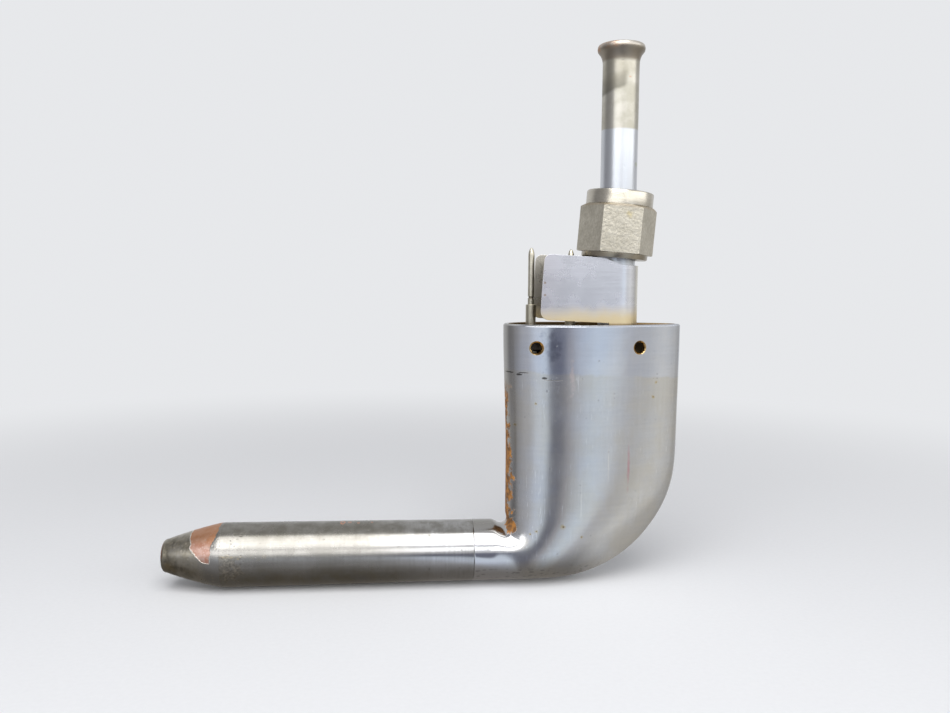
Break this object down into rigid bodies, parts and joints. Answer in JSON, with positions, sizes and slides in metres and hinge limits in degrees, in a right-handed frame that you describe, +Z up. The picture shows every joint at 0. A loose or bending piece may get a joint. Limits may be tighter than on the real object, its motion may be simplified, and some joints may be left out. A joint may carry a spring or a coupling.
{
  "type": "pitot tube",
  "caption": "Heated pitot tube: round barrel with a tapered nose, streamlined L mast, guarded contact pins and a flared riser with a loose coupling nut.",
  "frame": {"origin": "middle of the mast's top plane, where the mast goes into its socket", "axes": "+Z up along the mast to the aircraft, the nose points along -X, Y is the thickness"},
  "size_m": [0.137, 0.0196, 0.1417],
  "materials": {
    "polished_chrome": "polished chrome plate, fine brushing, rust at the leading edge",
    "satin_nickel": "satin nickel plate, dulled and lightly pitted",
    "nose_copper": "worn dark plate over bare copper",
    "riser_nickel": "nickel plate with heat and water stain",
    "nut_plating": "matte plated, turned collar",
    "brushed_guard": "satin brushed sheet, stained at the foot",
    "pin_silver": "dull silver plate",
    "plate_brass": "machined",
    "inner_copper": "drawn tube",
    "ceramic": "fired ceramic",
    "heater_wire": "oxidised resistance wire",
    "mica": "mica sheet",
    "insulator": "moulded phenolic",
    "gasket": "matte",
    "lead_sleeve": "glass braid sleeve"
  },
  "bodies": {
    "head": {"mast": "polished_chrome", "top_plate": "plate_brass", "barrel_tube": "satin_nickel", "nose_cap": "nose_copper", "pitot_tube": "inner_copper", "water_dam": "inner_copper", "rear_bulkhead": "plate_brass", "heater_former": "ceramic", "heater_winding": "heater_wire", "mica_wrap": "mica", "pressure_line": "inner_copper", "reducer_bush": "plate_brass", "riser_tube": "riser_nickel", "terminal_insulator": "insulator", "insulator_gasket": "gasket", "contact_pin_front": "pin_silver", "contact_pin_rear": "pin_silver", "pin_washer_front": "plate_brass", "pin_washer_rear": "plate_brass", "pin_nut_front": "plate_brass", "pin_nut_rear": "plate_brass", "connector_guard": "brushed_guard", "heater_bracket": "plate_brass", "mast_heater_core": "ceramic", "mast_heater_winding": "heater_wire", "heater_lead_front": "lead_sleeve", "heater_lead_rear": "lead_sleeve", "heater_lead_series": "lead_sleeve"},
    "nut": {"coupling_nut": "nut_plating"}
  },
  "joints": [
    {"name": "nut_slide", "type": "slide", "parent": "head", "child": "nut", "axis": [0, 0, 1], "range_m": [0, 0.0484]}
  ]
}
